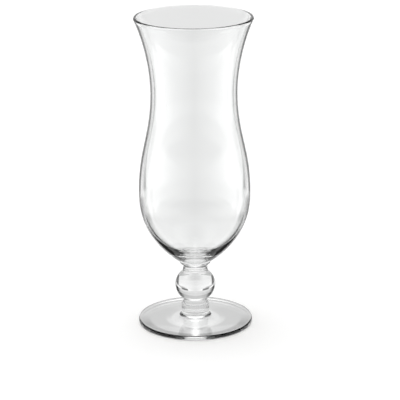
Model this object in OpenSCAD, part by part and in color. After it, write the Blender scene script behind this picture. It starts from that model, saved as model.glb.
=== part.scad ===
// Hurricane glass: a blown bowl on a short stem with one ball knop, and a round foot.
// Units are millimetres. The origin is the middle of the circle that the glass stands on, and +Z is up.
// Every piece is a solid of revolution about Z. The pieces are stacked and fused face to face,
// so each one starts at the height where the one below it ends, with the same diameter there.

/* [Foot] */
// Diameter of the foot
foot_d = 75; // [66:1:84]
// Height of the foot's outer edge
foot_edge_h = 3.4; // [2.6:0.1:4.4]
// Rounding of the edge, above and below
foot_edge_round = 1.2; // [0.6:0.1:1.3]
// Fall of the foot's upper face towards its edge, in degrees
foot_fall = 4; // [3:0.5:7]
// Height of the foot's boss, where the stem starts
foot_h = 12.8; // [11:0.1:16]
// Radius of the hollow corner between the boss and the upper face
boss_corner = 2; // [1.2:0.1:3.2]
// Depth of the hollow under the foot
foot_hollow = 2.2; // [0.8:0.1:2.8]
// Width of the flat ring that the glass stands on
rest_ring_w = 1; // [0.6:0.1:3]

/* [Lower collar] */
// Height of the collar between the foot and the ball
lower_collar_h = 4; // [3.8:0.1:7]
// Diameter of the foot's boss, where the collar meets it
foot_seat_d = 18.2; // [16.5:0.1:22]
// Diameter of the collar's narrowest place
lower_neck_d = 15.7; // [13.5:0.1:15.9]
// Height of the narrowest place above the foot
lower_neck_h = 3.1; // [2.2:0.1:3.6]

/* [Ball knop] */
// Diameter of the ball
ball_d = 26.4; // [22:0.1:32]
// Length of the ball between its two flat seats
ball_len = 18.2; // [15:0.1:22]
// Diameter of the ball's lower seat
lower_seat_d = 16.3; // [15.9:0.1:18.5]
// Diameter of the ball's upper seat
upper_seat_d = 17.2; // [16.4:0.1:19]

/* [Upper collar] */
// Height of the collar between the ball and the bowl
upper_collar_h = 7.4; // [6:0.1:10]
// Diameter of the collar's narrowest place
upper_neck_d = 16; // [13.5:0.1:16.4]
// Height of the narrowest place above the ball
upper_neck_h = 3.5; // [2.5:0.1:4.5]
// Diameter where the collar meets the bowl
bowl_seat_d = 20.8; // [18:0.1:24]

/* [Bowl] */
// Height of the bowl, from the collar to the rim
bowl_h = 162.6; // [150:0.2:176]
// Diameter over the rim
rim_d = 76.4; // [70:0.2:86]
// Lean of the mouth's wall away from upright, in degrees
mouth_lean = 22; // [12:1:28]
// Diameter of the waist
waist_d = 56; // [50:0.5:62]
// Height of the waist above the bowl's base
waist_h = 113.4; // [104:0.2:122]
// Diameter of the belly
belly_d = 72.4; // [66:0.2:80]
// Height of the belly's widest place above the bowl's base
belly_h = 47.3; // [42:0.1:54]
// Rise of the bowl's underside where it leaves the stem, in degrees
base_rise = 35.5; // [28:0.5:42]
// Thickness of the wall at the belly and the waist
wall_t = 1.8; // [1.2:0.1:2.4]
// Thickness of the bowl's floor in the middle
floor_t = 3.4; // [2.6:0.1:6]
// Thickness of the melted lip
lip_t = 2; // [1.9:0.1:2.6]
// Height of the straight wall below the lip, where the lip's thickness dies away
lip_h = 2; // [1:0.1:4]

/* [Smoothness] */
// Steps in each long curve of an outline
curve_steps = 24; // [12:2:48]
// Steps in each short curve of an outline
turn_steps = 10; // [6:1:20]

/* [Hidden] */
$fn = 128;

// Colour of clear glass on a white ground
glass_colour = [0.86, 0.89, 0.9];

// Heights of the faces where the pieces meet
foot_top_z = foot_h;
ball_z = foot_top_z + lower_collar_h;
upper_collar_z = ball_z + ball_len;
bowl_z = upper_collar_z + upper_collar_h;
rim_z = bowl_z + bowl_h;

// Handles of the collars' curves, as shares of each curve's height
collar_neck_share = 0.5;
collar_rim_share = 0.5;
lean_share = 0;

// Handles of the bowl's outer curves, as shares of each curve's height
mouth_share = 0.41;
waist_upper_share = 0.26;
waist_lower_share = 0.425;
belly_upper_share = 0.44;
belly_lower_share = 0.22;
base_share = 0.64;

// Handles of the bowl's floor: of the floor's depth below the belly, and of the belly's inner radius
belly_floor_share = 0.72;
floor_share = 0.3;

// A point on the cubic curve from a to d with the handles b and c, at t from 0 to 1
function curve_point(a, b, c, d, t) =
    pow(1 - t, 3) * a + 3 * pow(1 - t, 2) * t * b + 3 * (1 - t) * pow(t, 2) * c + pow(t, 3) * d;

// The points of that curve after its first one
function curve(a, b, c, d, steps) = [for (i = [1 : steps]) curve_point(a, b, c, d, i / steps)];

// A side that rises from low to high, upright at each end by a share of its height, or leaning at a share of 0
function turned_side(low, high, low_share, high_share) =
    let (rise = high.y - low.y)
    curve(low, low + [0, low_share * rise], high - [0, high_share * rise], high, turn_steps);

// An arc about a centre from one angle to another, in degrees
function arc(centre, radius, from_angle, to_angle) =
    [for (i = [0 : turn_steps])
        let (angle = from_angle + (to_angle - from_angle) * i / turn_steps)
        centre + radius * [cos(angle), sin(angle)]];

// A piece turned from its outline of [radius, height] points
module turned(outline) {
    color(glass_colour)
        rotate_extrude()
            polygon(outline);
}

// The foot: a pressed disc that rises to a short boss, with a rounded edge and a shallow hollow underneath
module foot() {
    foot_r = foot_d / 2;
    round_r = foot_r - foot_edge_round;
    hollow_r = round_r - rest_ring_w;
    boss_r = foot_seat_d / 2;
    // The upper face is a cone that meets the arc of the hollow corner where the arc lies square to it
    corner_out = [sin(foot_fall), cos(foot_fall)];
    face_r = boss_r + boss_corner * (1 - corner_out.x);
    face_z = foot_edge_h + (round_r - face_r) * tan(foot_fall);
    corner_centre = [face_r, face_z] + boss_corner * corner_out;
    // The hollow is a parabola, deepest in the middle
    hollow = [for (i = [0 : curve_steps])
        let (share = i / curve_steps)
        [hollow_r * share, foot_hollow * (1 - pow(share, 2))]];
    turned(concat(
        hollow,
        arc([round_r, foot_edge_round], foot_edge_round, -90, 0),
        arc([round_r, foot_edge_h - foot_edge_round], foot_edge_round, 0, 90),
        arc(corner_centre, boss_corner, -90 - foot_fall, -180),
        [[boss_r, foot_top_z], [0, foot_top_z]]));
}

// A waisted collar: it leans in from its lower face to its neck, and out again to its upper face
module collar(low_z, low_d, neck_h, neck_d, height, high_d, high_share) {
    low = [low_d / 2, low_z];
    neck = [neck_d / 2, low_z + neck_h];
    high = [high_d / 2, low_z + height];
    turned(concat(
        [[0, low_z], low],
        turned_side(low, neck, lean_share, collar_neck_share),
        turned_side(neck, high, collar_neck_share, high_share),
        [[0, high.y]]));
}

// The collar between the foot and the ball
module lower_collar() {
    collar(foot_top_z, foot_seat_d, lower_neck_h, lower_neck_d, lower_collar_h, lower_seat_d, lean_share);
}

// The ball: a slightly flattened sphere, cut flat at both ends where the collars meet it
module ball_knop() {
    ball_r = ball_d / 2;
    // Angles of the two seats above and below the ball's equator
    lower_angle = acos(lower_seat_d / ball_d);
    upper_angle = acos(upper_seat_d / ball_d);
    half_h = ball_len / (sin(lower_angle) + sin(upper_angle));
    equator_z = ball_z + half_h * sin(lower_angle);
    side = [for (i = [0 : curve_steps])
        let (angle = -lower_angle + (lower_angle + upper_angle) * i / curve_steps)
        [ball_r * cos(angle), equator_z + half_h * sin(angle)]];
    turned(concat([[0, ball_z]], side, [[0, upper_collar_z]]));
}

// The collar between the ball and the bowl, with an upright rim under the bowl
module upper_collar() {
    collar(upper_collar_z, upper_seat_d, upper_neck_h, upper_neck_d, upper_collar_h, bowl_seat_d,
        collar_rim_share);
}

// The bowl: the outer wall from the base up, over the lip, and the inner wall down to the floor
module bowl() {
    base = [bowl_seat_d / 2, bowl_z];
    belly = [belly_d / 2, bowl_z + belly_h];
    waist = [waist_d / 2, bowl_z + waist_h];
    inner_belly = belly - [wall_t, 0];
    inner_waist = waist - [wall_t, 0];
    floor_centre = [0, bowl_z + floor_t];
    // The mouth's wall leans outwards: one direction runs up along it and one squarely out of it
    up_wall = [sin(mouth_lean), cos(mouth_lean)];
    off_wall = [cos(mouth_lean), -sin(mouth_lean)];
    lip_r = lip_t / 2;
    lip_centre = [rim_d / 2 - lip_r, rim_z - lip_r];
    outer_lip = lip_centre + lip_r * off_wall;
    inner_lip = lip_centre - lip_r * off_wall;
    outer_mouth = outer_lip - lip_h * up_wall;
    inner_mouth = outer_mouth - wall_t * off_wall;
    base_h = belly.y - base.y;
    middle_h = waist.y - belly.y;
    mouth_h = outer_mouth.y - waist.y;
    floor_h = inner_belly.y - floor_centre.y;
    base_handle = base + base_share * base_h * [cos(base_rise), sin(base_rise)];
    turned(concat(
        [[0, bowl_z], base],
        curve(base, base_handle, belly - [0, belly_lower_share * base_h], belly, curve_steps),
        curve(belly, belly + [0, belly_upper_share * middle_h],
            waist - [0, waist_lower_share * middle_h], waist, curve_steps),
        curve(waist, waist + [0, waist_upper_share * mouth_h],
            outer_mouth - mouth_share * mouth_h * up_wall, outer_mouth, curve_steps),
        arc(lip_centre, lip_r, -mouth_lean, 180 - mouth_lean),
        curve(inner_lip, inner_lip - lip_h / 2 * up_wall, inner_mouth + lip_h / 2 * up_wall,
            inner_mouth, turn_steps),
        curve(inner_mouth, inner_mouth - mouth_share * mouth_h * up_wall,
            inner_waist + [0, waist_upper_share * mouth_h], inner_waist, curve_steps),
        curve(inner_waist, inner_waist - [0, waist_lower_share * middle_h],
            inner_belly + [0, belly_upper_share * middle_h], inner_belly, curve_steps),
        curve(inner_belly, inner_belly - [0, belly_floor_share * floor_h],
            floor_centre + [floor_share * inner_belly.x, 0], floor_centre, curve_steps)));
}

foot();
lower_collar();
ball_knop();
upper_collar();
bowl();
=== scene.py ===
# %% [markdown]
# # A hurricane glass in numpy and Blender
# The object is a bar glass for long drinks: a tall waisted bowl on a short stem with one ball, on a
# round foot. It is all clear glass, so what is seen of it is its outlines, the thickness of its walls
# and what the room puts into them. This lesson builds the five fused pieces as turned surfaces, gives
# them glass that bends light, and then sets up the small white studio that draws their dark edges.
#
# The solid model of the glass was made first. It is loaded here as a fixed frame that says where each
# piece is, and every length below is in metres in that frame: the origin is the middle of the circle
# that the glass stands on, and +Z is up.

# %% Load the frame
import bpy
import math
import numpy as np
from mathutils import Matrix, Vector


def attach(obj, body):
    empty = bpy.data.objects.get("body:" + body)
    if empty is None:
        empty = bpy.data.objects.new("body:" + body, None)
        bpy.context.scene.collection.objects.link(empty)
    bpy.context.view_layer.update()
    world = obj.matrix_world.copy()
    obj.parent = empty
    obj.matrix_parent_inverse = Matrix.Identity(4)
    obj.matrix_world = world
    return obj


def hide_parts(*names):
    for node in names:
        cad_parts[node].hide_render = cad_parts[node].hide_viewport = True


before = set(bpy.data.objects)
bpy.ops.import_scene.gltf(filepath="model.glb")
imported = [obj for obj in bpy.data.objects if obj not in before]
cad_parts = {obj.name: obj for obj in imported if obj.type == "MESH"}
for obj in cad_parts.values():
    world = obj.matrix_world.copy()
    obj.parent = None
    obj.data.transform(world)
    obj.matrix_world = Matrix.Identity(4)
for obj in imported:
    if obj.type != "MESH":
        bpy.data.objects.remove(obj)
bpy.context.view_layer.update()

# %% [markdown]
# ## The camera
# The photographer stood a bit over a metre away with a long lens and looked down by about 17 degrees:
# that is what makes the mouth and the foot flat ellipses. The camera is placed by those numbers and not
# by eye, so that each outline can be laid over the real one. It is turned by the small angles left over.

# %% Place the camera
camera_back = 1.1494
camera_height = 0.4401
look_down = math.radians(17.23)
look_right = math.radians(0.172)
camera_tilt = math.radians(-0.350)
lens_mm = 166.44
sensor_mm = 36.0
nearest_seen = 0.05
farthest_seen = 100.0

camera_data = bpy.data.cameras.new("camera")
camera_data.sensor_width = sensor_mm
camera_data.lens = lens_mm
camera_data.clip_start = nearest_seen
camera_data.clip_end = farthest_seen
camera = bpy.data.objects.new("camera", camera_data)
bpy.context.scene.collection.objects.link(camera)
camera.matrix_world = (
    Matrix.Translation((0.0, -camera_back, camera_height))
    @ Matrix.Rotation(-look_right, 4, "Z")
    @ Matrix.Rotation(math.pi / 2 - look_down, 4, "X")
    @ Matrix.Rotation(camera_tilt, 4, "Z")
)
bpy.context.scene.camera = camera
print("camera", round(Vector((camera_back, camera_height)).length, 3), "m from the foot")

# %% [markdown]
# ## Outlines and turning
# Every piece of a glass like this is round: it is spun while it is hot. So a piece is one outline of
# [radius, height] points carried once round the upright axis. Long sweeps are cubic curves with two
# handles, and rims and edges are arcs. The outline could be drawn with a curve object and a Screw
# modifier, but whole numpy arrays are quicker, and they keep the same formulas as the solid model.

# %% Curves and arcs for the outlines
def point(radius, height):
    """One outline point, as [radius, height]."""
    return np.array([radius, height], float)


def curve(a, b, c, d, steps):
    """Cubic curve from a to d with the handles b and c, without a itself: each point is the four
    weighted by (1-t)^3, 3(1-t)^2 t, 3(1-t)t^2 and t^3, for t in equal steps up to 1."""
    t = np.linspace(0, 1, steps + 1)[1:, None]
    return (1 - t) ** 3 * a + 3 * (1 - t) ** 2 * t * b + 3 * (1 - t) * t**2 * c + t**3 * d


def arc(centre, radius, from_angle, to_angle, steps):
    """Arc of a circle: centre + radius * (cos, sin) of angles in equal steps, in radians."""
    angle = np.linspace(from_angle, to_angle, steps + 1)[:, None]
    return centre + radius * np.hstack([np.cos(angle), np.sin(angle)])


def rising_side(low, high, low_share, high_share, steps):
    """Curve from low up to high whose handles stand straight above low and below high, by those
    shares of the rise."""
    rise = high[1] - low[1]
    low_handle = low + point(0, low_share * rise)
    high_handle = high - point(0, high_share * rise)
    return curve(low, low_handle, high_handle, high, steps)


quarter = arc(point(0, 0), 1, 0, np.pi / 2, 4)
print("a quarter circle in 4 steps runs from", quarter[0].round(3), "to", quarter[-1].round(3))

# %% Turn an outline into a closed mesh
turn_segments = 256
seat_tolerance = 1e-7


def turned(name, outline, seats):
    """The surface (r(s) cos u, r(s) sin u, z(s)), for s along the outline and u once round the axis.
    The outline starts and ends on the axis, where a fan of triangles closes it, and runs so that the
    glass is on its left. Faces between two points at one of the heights in seats are flat joint faces:
    they take the second material and are parted from the sides by a sharp edge."""
    rings = outline[1:-1]
    count = len(rings)
    u = np.linspace(0, 2 * np.pi, turn_segments, endpoint=False)
    r = rings[:, 0, None]
    z = np.broadcast_to(rings[:, 1, None], (count, turn_segments))
    grid = np.stack([r * np.cos(u), r * np.sin(u), z], axis=-1).reshape(-1, 3)
    poles = np.array([[0, 0, outline[0, 1]], [0, 0, outline[-1, 1]]])
    points = np.vstack([grid, poles])

    here = np.arange(turn_segments)
    there = (here + 1) % turn_segments
    row = (np.arange(count - 1) * turn_segments)[:, None]
    next_row = row + turn_segments
    quads = np.stack([row + here, row + there, next_row + there, next_row + here], axis=-1)
    first_pole = np.full_like(here, count * turn_segments)
    last_pole = first_pole + 1
    last_ring = (count - 1) * turn_segments
    first_fan = np.stack([first_pole, there, here], axis=-1)
    last_fan = np.stack([last_ring + here, last_ring + there, last_pole], axis=-1)

    mesh = bpy.data.meshes.new(name)
    faces = quads.reshape(-1, 4).tolist() + first_fan.tolist() + last_fan.tolist()
    mesh.from_pydata(points.tolist(), [], faces)
    mesh.shade_smooth()

    # A face belongs to a joint if both ends of its stretch of the outline lie at the same seat height
    off_seat = np.abs(outline[:, 1, None] - np.array(seats)[None, :])
    on_seat = np.any(off_seat < seat_tolerance, axis=1)
    joint_stretch = on_seat[:-1] & on_seat[1:]
    stretch = np.concatenate([
        np.repeat(np.arange(1, count), turn_segments),
        np.zeros(turn_segments, int),
        np.full(turn_segments, count),
    ])
    joint_face = joint_stretch[stretch]
    mesh.polygons.foreach_set("material_index", joint_face.astype(np.int32))

    # The circle between a joint and a side is sharp, so that the side keeps its own direction there
    on_circle = joint_stretch[:-1] != joint_stretch[1:]
    ring_of = np.full(len(points), -1)
    ring_of[: count * turn_segments] = np.repeat(np.arange(count), turn_segments)
    ends = np.empty(len(mesh.edges) * 2, np.int32)
    mesh.edges.foreach_get("vertices", ends)
    ring_a, ring_b = ring_of[ends.reshape(-1, 2)].T
    sharp = (ring_a == ring_b) & (ring_a >= 0) & on_circle[ring_a]
    mesh.attributes.new("sharp_edge", "BOOLEAN", "EDGE").data.foreach_set("value", sharp)

    piece = bpy.data.objects.new(name, mesh)
    bpy.context.scene.collection.objects.link(piece)
    print(name, len(mesh.polygons), "faces,", int(joint_face.sum()), "of them on joints")
    return piece


print("each outline is turned in", turn_segments, "steps of", round(360 / turn_segments, 2), "degrees")

# %% [markdown]
# ## The foot
# The foot is a pressed or spun disc about 75 mm across. Its upper face is a shallow cone that falls
# from a short boss under the stem to a thin rounded edge, and its underside is a shallow hollow, so
# that the glass stands on a narrow ring near the edge and doesn't rock. The corner between the cone
# and the boss is hollow and round: it is that arc that draws the rings of light at the foot of the
# stem.

# %% Make the foot
foot_d = 0.075
foot_edge_h = 0.0034
foot_edge_round = 0.0012
foot_fall = math.radians(4)
foot_h = 0.0128
boss_corner = 0.002
foot_hollow = 0.0022
rest_ring_w = 0.001
foot_seat_d = 0.0182
long_steps = 72
edge_steps = 12


def foot_outline():
    """Hollow: a parabola, deepest in the middle. Then the edge: two quarter circles with a straight
    between them. Then a straight slope into the arc of the hollow corner, whose end is the boss's
    side. The slope meets the arc where the arc lies square to it."""
    round_r = foot_d / 2 - foot_edge_round
    hollow_r = round_r - rest_ring_w
    boss_r = foot_seat_d / 2
    share = np.linspace(0, 1, long_steps + 1)[:, None]
    hollow = np.hstack([hollow_r * share, foot_hollow * (1 - share**2)])
    low_centre = point(round_r, foot_edge_round)
    high_centre = point(round_r, foot_edge_h - foot_edge_round)
    low_edge = arc(low_centre, foot_edge_round, -np.pi / 2, 0, edge_steps)
    high_edge = arc(high_centre, foot_edge_round, 0, np.pi / 2, edge_steps)
    face_r = boss_r + boss_corner * (1 - math.sin(foot_fall))
    face_z = foot_edge_h + (round_r - face_r) * math.tan(foot_fall)
    corner_centre = point(face_r, face_z) + boss_corner * point(math.sin(foot_fall), math.cos(foot_fall))
    corner = arc(corner_centre, boss_corner, -np.pi / 2 - foot_fall, -np.pi, edge_steps)
    return np.vstack([hollow, low_edge, high_edge, corner, point(boss_r, foot_h), point(0, foot_h)])


foot = turned("foot_clear", foot_outline(), [foot_h])

# %% [markdown]
# ## The two collars
# Between the foot, the ball and the bowl the stem is drawn in to a short neck. Each collar leans in
# from its lower face to the neck and out again to its upper face, as hot glass does where it is
# pulled. One function makes both, with the sizes of each.

# %% Make the collars
lower_collar_h = 0.004
lower_neck_d = 0.0157
lower_neck_h = 0.0031
lower_seat_d = 0.0163
ball_len = 0.0182
upper_seat_d = 0.0172
upper_collar_h = 0.0074
upper_neck_d = 0.016
upper_neck_h = 0.0035
bowl_seat_d = 0.0208
collar_neck_share = 0.5
collar_rim_share = 0.5
lean_share = 0.0
short_steps = 20
ball_z = foot_h + lower_collar_h
upper_collar_z = ball_z + ball_len
bowl_z = upper_collar_z + upper_collar_h


def collar_outline(low_z, low_d, neck_h, neck_d, height, high_d, high_share):
    """Two rising curves that meet upright at the neck, between two flat faces."""
    low = point(low_d / 2, low_z)
    neck = point(neck_d / 2, low_z + neck_h)
    high = point(high_d / 2, low_z + height)
    return np.vstack([
        point(0, low_z),
        low,
        rising_side(low, neck, lean_share, collar_neck_share, short_steps),
        rising_side(neck, high, collar_neck_share, high_share, short_steps),
        point(0, high[1]),
    ])


lower_collar = turned(
    "lower_collar_clear",
    collar_outline(
        foot_h, foot_seat_d, lower_neck_h, lower_neck_d, lower_collar_h, lower_seat_d, lean_share
    ),
    [foot_h, ball_z],
)
upper_collar = turned(
    "upper_collar_clear",
    collar_outline(
        upper_collar_z, upper_seat_d, upper_neck_h, upper_neck_d, upper_collar_h, bowl_seat_d,
        collar_rim_share,
    ),
    [upper_collar_z, bowl_z],
)

# %% [markdown]
# ## The ball
# The ball in the stem is the one ornament of the glass, and the grip of the hand. It is solid, a
# little flatter than a true sphere, and it works as a strong lens: it turns the room upside down and
# puts a dark line round its limb. Its outline is a piece of an ellipse between the two seats.

# %% Make the ball
ball_d = 0.0264


def ball_outline():
    """Ellipse (r cos a, h sin a), from the angle where it is as wide as the lower seat to the angle
    where it is as wide as the upper one. Its half height h makes the cut piece as long as the ball
    is."""
    ball_r = ball_d / 2
    lower_angle = math.acos(lower_seat_d / ball_d)
    upper_angle = math.acos(upper_seat_d / ball_d)
    half_h = ball_len / (math.sin(lower_angle) + math.sin(upper_angle))
    equator_z = ball_z + half_h * math.sin(lower_angle)
    angle = np.linspace(-lower_angle, upper_angle, long_steps + 1)[:, None]
    side = np.hstack([ball_r * np.cos(angle), equator_z + half_h * np.sin(angle)])
    return np.vstack([point(0, ball_z), side, point(0, upper_collar_z)])


ball_knop = turned("ball_knop_clear", ball_outline(), [ball_z, upper_collar_z])

# %% [markdown]
# ## The bowl
# The bowl is blown: it swells to a belly low down, draws in to a waist and opens again like a flower
# to the mouth. Its wall is under 2 mm, its lip is melted round and a little thicker, and its floor is
# thick and curved on both sides, which is where the dark wedge at the bottom of such a glass comes
# from. A Solidify modifier would give one even wall, so the inner wall has its own curves here, with
# the same handles as the outer ones.

# %% Make the bowl
bowl_h = 0.1626
rim_d = 0.0764
mouth_lean = math.radians(22)
waist_d = 0.056
waist_h = 0.1134
belly_d = 0.0724
belly_h = 0.0473
base_rise = math.radians(35.5)
wall_t = 0.0018
floor_t = 0.0034
lip_t = 0.002
lip_h = 0.002
mouth_share = 0.41
waist_upper_share = 0.26
waist_lower_share = 0.425
belly_upper_share = 0.44
belly_lower_share = 0.22
base_share = 0.64
belly_floor_share = 0.72
floor_share = 0.3
wall_steps = 48


def bowl_outline():
    """From the base up the outer wall, over the lip and down the inner wall to the middle of the
    floor: cubic curves that meet upright at the belly and the waist, with an arc for the lip."""
    base = point(bowl_seat_d / 2, bowl_z)
    belly = point(belly_d / 2, bowl_z + belly_h)
    waist = point(waist_d / 2, bowl_z + waist_h)
    inner_belly = belly - point(wall_t, 0)
    inner_waist = waist - point(wall_t, 0)
    floor_centre = point(0, bowl_z + floor_t)
    up_wall = point(math.sin(mouth_lean), math.cos(mouth_lean))
    off_wall = point(math.cos(mouth_lean), -math.sin(mouth_lean))
    lip_r = lip_t / 2
    lip_centre = point(rim_d / 2 - lip_r, bowl_z + bowl_h - lip_r)
    inner_lip = lip_centre - lip_r * off_wall
    outer_mouth = lip_centre + lip_r * off_wall - lip_h * up_wall
    inner_mouth = outer_mouth - wall_t * off_wall

    base_rise_h = belly[1] - base[1]
    middle_h = waist[1] - belly[1]
    mouth_h = outer_mouth[1] - waist[1]
    floor_h = inner_belly[1] - floor_centre[1]
    base_handle = base + base_share * base_rise_h * point(math.cos(base_rise), math.sin(base_rise))
    below_belly = point(0, belly_lower_share * base_rise_h)
    up_belly = point(0, belly_upper_share * middle_h)
    up_waist = point(0, waist_upper_share * mouth_h)
    below_waist = point(0, waist_lower_share * middle_h)
    below_mouth = mouth_share * mouth_h * up_wall
    half_lip = lip_h / 2 * up_wall
    into_floor = point(0, belly_floor_share * floor_h)
    along_floor = point(floor_share * inner_belly[0], 0)
    return np.vstack([
        point(0, bowl_z),
        base,
        curve(base, base_handle, belly - below_belly, belly, wall_steps),
        curve(belly, belly + up_belly, waist - below_waist, waist, wall_steps),
        curve(waist, waist + up_waist, outer_mouth - below_mouth, outer_mouth, wall_steps),
        arc(lip_centre, lip_r, -mouth_lean, math.pi - mouth_lean, short_steps),
        curve(inner_lip, inner_lip - half_lip, inner_mouth + half_lip, inner_mouth, short_steps),
        curve(inner_mouth, inner_mouth - below_mouth, inner_waist + up_waist, inner_waist, wall_steps),
        curve(inner_waist, inner_waist - below_waist, inner_belly + up_belly, inner_belly, wall_steps),
        curve(inner_belly, inner_belly - into_floor, floor_centre + along_floor, floor_centre, wall_steps),
    ])


bowl = turned("bowl_clear", bowl_outline(), [bowl_z])

# %% [markdown]
# ## Say what each piece stands for
# Each turned piece takes the place of one piece of the solid model. All five are fused into one body.

# %% Tie the pieces to the frame
stands_for = {
    "foot": foot,
    "lower_collar": lower_collar,
    "ball_knop": ball_knop,
    "upper_collar": upper_collar,
    "bowl": bowl,
}
for node, piece in stands_for.items():
    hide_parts(node)
    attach(piece, "root")
print("pieces:", ", ".join(piece.name for piece in stands_for.values()))

# %% [markdown]
# ## The look of glass
# Real glass is never perfectly smooth. A blown wall has slow ripples a few centimetres long, a pressed
# foot has finer ones from its mould, and a glass that has been handled has a faint film and, under its
# foot, a ring of fine scratches where it stands. One node group works all of that out from the place
# on the object, and puts out a height for the ripples and a roughness. Each material places the group
# with its own values.

# %% Small helpers for node trees
nodes_in_row = 8
node_spacing = 260


def add_node(tree, kind, **settings):
    """Adds a node of that kind with its settings. Nodes stand in rows, in the order they are made."""
    made = tree.nodes.new(kind)
    row, column = divmod(len(tree.nodes), nodes_in_row)
    made.location = (column * node_spacing, -row * node_spacing)
    for name, value in settings.items():
        setattr(made, name, value)
    return made


def feed(tree, value, socket):
    """Gives a socket its value: a number is set on it, and another socket is linked to it."""
    if isinstance(value, (int, float)):
        socket.default_value = value
    else:
        tree.links.new(value, socket)


def add_math(tree, operation, *inputs):
    """A Math node with those inputs, each a number or a socket."""
    made = add_node(tree, "ShaderNodeMath", operation=operation)
    for index, value in enumerate(inputs):
        feed(tree, value, made.inputs[index])
    return made.outputs[0]


def add_step(tree, value, low, high, low_result=0.0, high_result=1.0):
    """A Map Range node that turns value smoothly from low_result at low to high_result at high."""
    made = add_node(tree, "ShaderNodeMapRange", interpolation_type="SMOOTHSTEP")
    tree.links.new(value, made.inputs["Value"])
    made.inputs["From Min"].default_value = low
    made.inputs["From Max"].default_value = high
    made.inputs["To Min"].default_value = low_result
    made.inputs["To Max"].default_value = high_result
    return made.outputs["Result"]


def add_noise(tree, coordinates, scale, detail):
    """Smooth noise of about that many waves in a metre, with that many finer layers on top."""
    made = add_node(tree, "ShaderNodeTexNoise")
    feed(tree, coordinates, made.inputs["Vector"])
    feed(tree, scale, made.inputs["Scale"])
    feed(tree, detail, made.inputs["Detail"])
    return made.outputs["Fac"]


print("nodes stand in rows of", nodes_in_row)

# %% Ripples, film and scratches in one group
ripple_detail = 1.0
film_scale = 55.0
film_detail = 4.0
film_starts = 0.45
film_is_full = 0.75
scratch_scale = 1800.0
scratch_detail = 2.0
scratch_starts = 0.4
scratch_is_full = 0.7
scratched_below = 0.0001
smooth_above = 0.0004


def make_surface_group():
    """Ripple height: slow noise of the scale that is given. Roughness: a film in soft patches, plus
    scratches near height zero, where the foot rests."""
    group = bpy.data.node_groups.new("glass surface", "ShaderNodeTree")
    for name in ("Ripple scale", "Film", "Scratches"):
        group.interface.new_socket(name, in_out="INPUT", socket_type="NodeSocketFloat")
    for name in ("Ripples", "Roughness"):
        group.interface.new_socket(name, in_out="OUTPUT", socket_type="NodeSocketFloat")
    given = add_node(group, "NodeGroupInput")
    result = add_node(group, "NodeGroupOutput")
    place = add_node(group, "ShaderNodeTexCoord").outputs["Object"]

    ripples = add_noise(group, place, given.outputs["Ripple scale"], ripple_detail)
    group.links.new(ripples, result.inputs["Ripples"])

    patches = add_noise(group, place, film_scale, film_detail)
    filmed = add_step(group, patches, film_starts, film_is_full)
    film = add_math(group, "MULTIPLY", filmed, given.outputs["Film"])

    fine = add_noise(group, place, scratch_scale, scratch_detail)
    marked = add_step(group, fine, scratch_starts, scratch_is_full)
    parts = add_node(group, "ShaderNodeSeparateXYZ")
    group.links.new(place, parts.inputs["Vector"])
    near_table = add_step(group, parts.outputs["Z"], scratched_below, smooth_above, 1.0, 0.0)
    marks = add_math(group, "MULTIPLY", marked, near_table)
    scratches = add_math(group, "MULTIPLY", marks, given.outputs["Scratches"])

    roughness = add_math(group, "ADD", film, scratches)
    group.links.new(roughness, result.inputs["Roughness"])
    return group


surface_group = make_surface_group()
print("group sockets:", [item.name for item in surface_group.interface.items_tree])

# %% [markdown]
# ## Two glass finishes and a seam that can't be seen
# Soda-lime glass bends light by 1.52 and has a trace of grey-green. The shader that does this is the
# Principled one with its Transmission Weight at 1: light passes each face, bends and reflects by
# Fresnel's law. The blown bowl gets slow, faint ripples and the pressed foot and stem finer ones.
# Where two pieces are fused, the real glass has no face at all, so the flat faces of the joints get a
# material that lets light straight through.

# %% Make the glass materials
glass_colour = (0.985, 0.99, 0.988, 1.0)
glass_ior = 1.52


def make_glass(name, ripple_scale, ripple_depth, ripple_strength, film, scratches):
    """Clear glass whose Normal comes from the ripples and whose Roughness comes from the film and the
    scratches."""
    material = bpy.data.materials.new(name)
    material.use_nodes = True
    tree = material.node_tree
    shader = tree.nodes["Principled BSDF"]
    shader.inputs["Base Color"].default_value = glass_colour
    shader.inputs["IOR"].default_value = glass_ior
    shader.inputs["Transmission Weight"].default_value = 1.0
    surface = add_node(tree, "ShaderNodeGroup", node_tree=surface_group)
    surface.inputs["Ripple scale"].default_value = ripple_scale
    surface.inputs["Film"].default_value = film
    surface.inputs["Scratches"].default_value = scratches
    bump = add_node(tree, "ShaderNodeBump")
    bump.inputs["Strength"].default_value = ripple_strength
    bump.inputs["Distance"].default_value = ripple_depth
    tree.links.new(surface.outputs["Ripples"], bump.inputs["Height"])
    tree.links.new(bump.outputs["Normal"], shader.inputs["Normal"])
    tree.links.new(surface.outputs["Roughness"], shader.inputs["Roughness"])
    return material


def make_seam():
    """A face that shows nothing, for the joints inside the fused glass."""
    material = bpy.data.materials.new("fused_seam")
    material.use_nodes = True
    tree = material.node_tree
    tree.nodes.remove(tree.nodes["Principled BSDF"])
    clear = add_node(tree, "ShaderNodeBsdfTransparent")
    tree.links.new(clear.outputs["BSDF"], tree.nodes["Material Output"].inputs["Surface"])
    return material


blown_glass = make_glass(
    "blown_glass",
    ripple_scale=22.0,
    ripple_depth=0.0004,
    ripple_strength=0.15,
    film=0.004,
    scratches=0.0,
)
pressed_glass = make_glass(
    "pressed_glass",
    ripple_scale=60.0,
    ripple_depth=0.0002,
    ripple_strength=0.12,
    film=0.006,
    scratches=0.2,
)
fused_seam = make_seam()

for node, piece in stands_for.items():
    piece.data.materials.append(blown_glass if node == "bowl" else pressed_glass)
    piece.data.materials.append(fused_seam)
print("glass bends light by", glass_ior)
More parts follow.
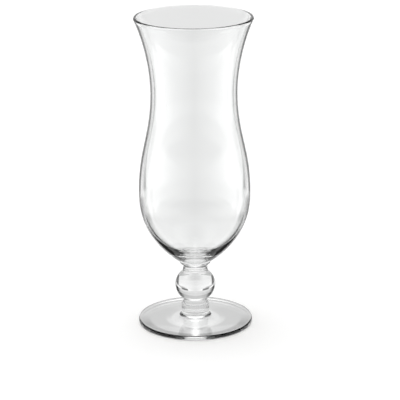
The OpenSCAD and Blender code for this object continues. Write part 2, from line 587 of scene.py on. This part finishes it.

# %% [markdown]
# ## The room
# Clear glass shows only the room. A white room would make it vanish, so a photographer leaves dark
# gaps beside the white sheet behind the glass: the walls bend light more and more towards their edges
# until it comes out of those gaps, and each edge draws itself as a dark line. Soft lamps to the left
# and right brighten the flanks and stop at a sharp line. All of this could be stood round the glass as
# lamps and cards, but then they would stand in the way of other views. So the world paints them by
# direction, and only rays that come off or through the glass see them. Light that has gone back and
# forth many times inside thick glass is faded out. A little of that is the light that real glass takes
# in, and most of it is painted shade that darkens the thick floor and the foot's edge.

# %% Ramps, blends and the fade
fade_from = 8.5
fade_to = 9.7
under_one_bounce = 0.5


def add_angle(tree, parts):
    """Degrees away from straight ahead, up to 180 for straight behind, of the direction or place whose
    X, Y and Z are in parts."""
    aside = add_math(tree, "ABSOLUTE", parts.outputs["X"])
    angle = add_math(tree, "ARCTAN2", aside, parts.outputs["Y"])
    return add_math(tree, "MULTIPLY", angle, math.degrees(1))


def add_ramp(tree, value, stops):
    """A ramp through stops of (value, brightness), for values from 0 to the last stop's."""
    top = stops[-1][0]
    strongest = max(brightness for _, brightness in stops)
    share = add_math(tree, "DIVIDE", value, top)
    ramp = add_node(tree, "ShaderNodeValToRGB")
    elements = ramp.color_ramp.elements
    while len(elements) > 1:
        elements.remove(elements[-1])
    for number, (at, brightness) in enumerate(stops):
        stop = elements.new(at / top) if number else elements[0]
        stop.position = at / top
        stop.color = (brightness / strongest,) * 3 + (1,)
    tree.links.new(share, ramp.inputs["Fac"])
    return add_math(tree, "MULTIPLY", ramp.outputs["Color"], strongest)


def add_blend(tree, share, low, high):
    """low where share is 0 and high where it is 1: low + share * (high - low)."""
    gap = add_math(tree, "SUBTRACT", high, low)
    return add_math(tree, "MULTIPLY_ADD", share, gap, low)


def add_bands(tree, value, angle, stops, bands):
    """Brightness by angle through the first stops, and through the stops of each (low, high, stops) in
    bands from where value passes from low to high."""
    whole = add_ramp(tree, angle, stops)
    for low, high, band_stops in bands:
        here = add_ramp(tree, angle, band_stops)
        share = add_step(tree, value, low, high)
        whole = add_blend(tree, share, whole, here)
    return whole


def add_ray_masks(tree):
    """Three values: 1 for a ray that comes off glass or out of it and whose path hasn't met the table
    before, otherwise 0; the fade of light with the number of faces it has met, from 1 to 0; and 1 for
    a ray straight from the camera."""
    ray = add_node(tree, "ShaderNodeLightPath")
    either = add_math(tree, "ADD", ray.outputs["Is Glossy Ray"], ray.outputs["Is Transmission Ray"])
    off_glass = add_math(tree, "MINIMUM", either, 1.0)
    before_table = add_math(tree, "LESS_THAN", ray.outputs["Diffuse Depth"], under_one_bounce)
    glass_ray = add_math(tree, "MULTIPLY", off_glass, before_table)
    # The fade is painted shade: beyond the little light that real glass takes in, it darkens what is seen
    # after many faces, in the thick floor and the foot's edge.
    fade = add_step(tree, ray.outputs["Ray Depth"], fade_from, fade_to, 1.0, 0.0)
    return glass_ray, fade, ray.outputs["Is Camera Ray"]


print("light fades out between", fade_from, "and", fade_to, "faces")

# %% Paint the room
# Each stop is (degrees from straight ahead, brightness). The room at 180 degrees is behind the camera.
white_sheet_stops = ((0, 0.87), (3, 0.88), (9, 1.0), (14.5, 1.12))
dark_gap_stops = ((16, 0.18), (31, 0.18))
side_card_stops = ((34, 0.8), (44, 1.2), (54, 1.2), (56, 0.7), (67.5, 0.7))
side_lamp_stops = ((68.5, 1.4), (95, 1.45), (120, 1.1), (180, 0.45))
ring_stops = white_sheet_stops + dark_gap_stops + side_card_stops + side_lamp_stops
horizon_stops = ((0, 0.8), (38, 0.8), (54, 0.0), (67.5, 0.0)) + side_lamp_stops
low_wall_stops = (
    (0, 0.75),
    (12, 0.75),
    (38, 0.65),
    (54, 0.0),
    (85, 0.0),
    (115, 0.5),
    (145, 0.6),
    (180, 0.5),
)
middle_wall_stops = ((0, 0.6), (30, 0.5), (42, 0.0), (180, 0.0))
high_wall_stops = ((0, 1.25), (12, 1.2), (24, 0.75), (48, 0.15), (54, 0.0), (180, 0.0))
ceiling_stops = ((0, 2.2), (20, 1.8), (60, 0.85), (180, 0.65))
# The ring is below the horizon. Each band takes over between two heights of the direction, 1 being up.
wall_bands = (
    (0.0, 0.01, horizon_stops),
    (0.07, 0.11, low_wall_stops),
    (0.22, 0.27, middle_wall_stops),
    (0.46, 0.52, high_wall_stops),
    (0.66, 0.74, ceiling_stops),
)
plain_white = (1.0, 1.0, 1.0, 1.0)
camera_white = 1.0
soft_light = 0.5
lamp_light = 4.0
lamp_direction = (-0.04, 0.12, 0.99)
lamp_edge_low = 0.88
lamp_edge_high = 0.97


def make_room():
    """Brightness by direction: the ring at table height, the walls in bands above it and the ceiling.
    The camera sees plain white. The table is lit by a soft room and a wide lamp overhead, so that the
    glass throws a soft shadow round its foot."""
    world = bpy.data.worlds.new("studio")
    bpy.context.scene.world = world
    world.use_nodes = True
    tree = world.node_tree
    direction = add_node(tree, "ShaderNodeTexCoord").outputs["Generated"]
    parts = add_node(tree, "ShaderNodeSeparateXYZ")
    tree.links.new(direction, parts.inputs["Vector"])
    angle = add_angle(tree, parts)
    walls = add_bands(tree, parts.outputs["Z"], angle, ring_stops, wall_bands)

    towards_lamp = add_node(tree, "ShaderNodeVectorMath", operation="DOT_PRODUCT")
    tree.links.new(direction, towards_lamp.inputs[0])
    towards_lamp.inputs[1].default_value = lamp_direction
    on_table = add_step(
        tree, towards_lamp.outputs["Value"], lamp_edge_low, lamp_edge_high, soft_light, lamp_light
    )

    glass_ray, fade, from_camera = add_ray_masks(tree)
    in_glass = add_math(tree, "MULTIPLY", walls, fade)
    by_ray = add_blend(tree, glass_ray, on_table, in_glass)
    strength = add_blend(tree, from_camera, by_ray, camera_white)
    background = tree.nodes["Background"]
    background.inputs["Color"].default_value = plain_white
    tree.links.new(strength, background.inputs["Strength"])
    return world


studio = make_room()
print(studio.name, "painted in", 1 + len(wall_bands), "bands")

# %% [markdown]
# ## The table
# The glass stands on a white sheet that runs out of the picture on all sides. A plain white surface
# under studio lamps comes out grey, so the sheet also gives off a part of its own white to the camera.
# What is left for the lamps to light is what keeps the soft shadow round the foot, with a trace of
# blue so that the shadow is warm. Rays from the glass see the sheet with its light and shade painted
# on: by the angle round the foot, like the room, and in rings of painted light and painted shadow
# under the foot, which stand in for the light that the foot gathers and the shade of its edge. The stem
# is a lens as well, and the line of light that it draws on the table in front is painted there as one
# bright line.

# %% Paint light and shade on the table in rings
# Each stop is (degrees, brightness) as for the room: 0 is behind the foot and 180 in front of it
under_stem_stops = ((0, 0.85), (180, 0.95))
foot_ring_stops = ((0, 0.68), (75, 0.68), (100, 0.84), (180, 0.87))
under_slope_stops = ((0, 0.66), (180, 0.66))
foot_edge_stops = ((0, 0.68), (80, 0.68), (110, 0.42), (180, 0.37))
table_gap_stops = ((45, 0.1), (67, 0.1))
table_side_stops = ((73, 0.7), (95, 1.0), (120, 1.0), (180, 0.45))
beside_foot_stops = ((0, 0.7), (6, 0.76), (14, 0.95), (39, 0.95)) + table_gap_stops + table_side_stops
past_foot_stops = ((0, 0.86), (8, 0.94), (18, 1.0), (39, 1.0)) + table_gap_stops + table_side_stops
middle_sheet_stops = (
    (0, 0.86),
    (6, 0.9),
    (17, 0.97),
    (24, 0.55),
    (48, 0.55),
    (62, 1.1),
    (95, 1.9),
    (120, 1.45),
    (180, 0.6),
)
# Each ring takes over between two distances from the middle of the foot
table_bands = (
    (0.0145, 0.0170, foot_ring_stops),
    (0.0175, 0.0205, under_slope_stops),
    (0.0285, 0.0315, foot_edge_stops),
    (0.0370, 0.0385, beside_foot_stops),
    (0.0560, 0.0640, past_foot_stops),
    (0.155, 0.185, middle_sheet_stops),
    (0.28, 0.32, ring_stops),
)
painted_focus_light = 1.15
focus_half_w = 0.004
focus_end = 0.045


def add_painted_table_light(tree):
    """Painted light and shade on the table by place: rings by distance and angle, and over them a painted
    highlight line in front of the stem, which is strongest where X is 0 and ends at focus_half_w on both
    sides."""
    place = add_node(tree, "ShaderNodeTexCoord").outputs["Object"]
    parts = add_node(tree, "ShaderNodeSeparateXYZ")
    tree.links.new(place, parts.inputs["Vector"])
    distance = add_node(tree, "ShaderNodeVectorMath", operation="LENGTH")
    tree.links.new(place, distance.inputs[0])
    angle = add_angle(tree, parts)
    # Painted light and painted shadow in rings under the foot: the light that the foot gathers and the
    # shade of its edge.
    rings = add_bands(tree, distance.outputs["Value"], angle, under_stem_stops, table_bands)

    # Painted highlight: one bright line on the table in front of the stem, in place of the light that the
    # stem focuses there.
    aside = add_math(tree, "ABSOLUTE", parts.outputs["X"])
    in_line = add_step(tree, aside, 0.0, focus_half_w, 1.0, 0.0)
    in_front = add_math(tree, "LESS_THAN", parts.outputs["Y"], 0.0)
    before_end = add_math(tree, "GREATER_THAN", parts.outputs["Y"], -focus_end)
    along = add_math(tree, "MULTIPLY", in_front, before_end)
    in_focus = add_math(tree, "MULTIPLY", in_line, along)
    return add_blend(tree, in_focus, rings, painted_focus_light)


print("table lit in", 1 + len(table_bands), "rings")

# %% Make the table
table_side = 8.0
table_paint = (0.77, 0.78, 0.805, 1.0)
table_glow = (0.335, 0.325, 0.30, 1.0)


def make_white_sheet():
    """For rays from glass it is an emission by place, with light and shade painted on. For all other rays
    it is a diffuse surface, with a glow that only the camera sees."""
    material = bpy.data.materials.new("white_sheet")
    material.use_nodes = True
    tree = material.node_tree
    tree.nodes.remove(tree.nodes["Principled BSDF"])
    glass_ray, fade, from_camera = add_ray_masks(tree)
    paint = add_node(tree, "ShaderNodeBsdfDiffuse")
    paint.inputs["Color"].default_value = table_paint
    glow = add_node(tree, "ShaderNodeEmission")
    glow.inputs["Color"].default_value = table_glow
    tree.links.new(from_camera, glow.inputs["Strength"])
    sheet = add_node(tree, "ShaderNodeAddShader")
    tree.links.new(paint.outputs["BSDF"], sheet.inputs[0])
    tree.links.new(glow.outputs["Emission"], sheet.inputs[1])

    # Emission with the table's painted light and shade, seen only by rays from the glass.
    painted_light_emission = add_node(tree, "ShaderNodeEmission")
    in_glass = add_math(tree, "MULTIPLY", add_painted_table_light(tree), fade)
    tree.links.new(in_glass, painted_light_emission.inputs["Strength"])

    by_ray = add_node(tree, "ShaderNodeMixShader")
    tree.links.new(glass_ray, by_ray.inputs["Fac"])
    tree.links.new(sheet.outputs["Shader"], by_ray.inputs[1])
    tree.links.new(painted_light_emission.outputs["Emission"], by_ray.inputs[2])
    tree.links.new(by_ray.outputs["Shader"], tree.nodes["Material Output"].inputs["Surface"])
    return material


def make_table():
    """A square sheet at height zero."""
    half = table_side / 2
    corners = [(-half, -half, 0), (half, -half, 0), (half, half, 0), (-half, half, 0)]
    mesh = bpy.data.meshes.new("table")
    mesh.from_pydata(corners, [], [(0, 1, 2, 3)])
    mesh.materials.append(make_white_sheet())
    table = bpy.data.objects.new("table", mesh)
    bpy.context.scene.collection.objects.link(table)
    return table


table = make_table()
print("table", table_side, "m wide")

# %% [markdown]
# ## How far light is followed
# Light that falls on the sheet through the stem and the foot meets many faces on its way, and each
# face also throws some of it back at the last one. If it were given up early, the shadow would turn too
# dark, so it is followed through many faces. The seams between the fused pieces are counted apart,
# because light goes straight through them.

# %% Set how light is followed
faces_through = 32
faces_off = 16
seams_through = 48

scene = bpy.context.scene
scene.view_settings.view_transform = "Standard"
scene.cycles.max_bounces = faces_through
scene.cycles.transmission_bounces = faces_through
scene.cycles.glossy_bounces = faces_off
scene.cycles.transparent_max_bounces = seams_through
print("light is followed through", faces_through, "faces and", seams_through, "seams")
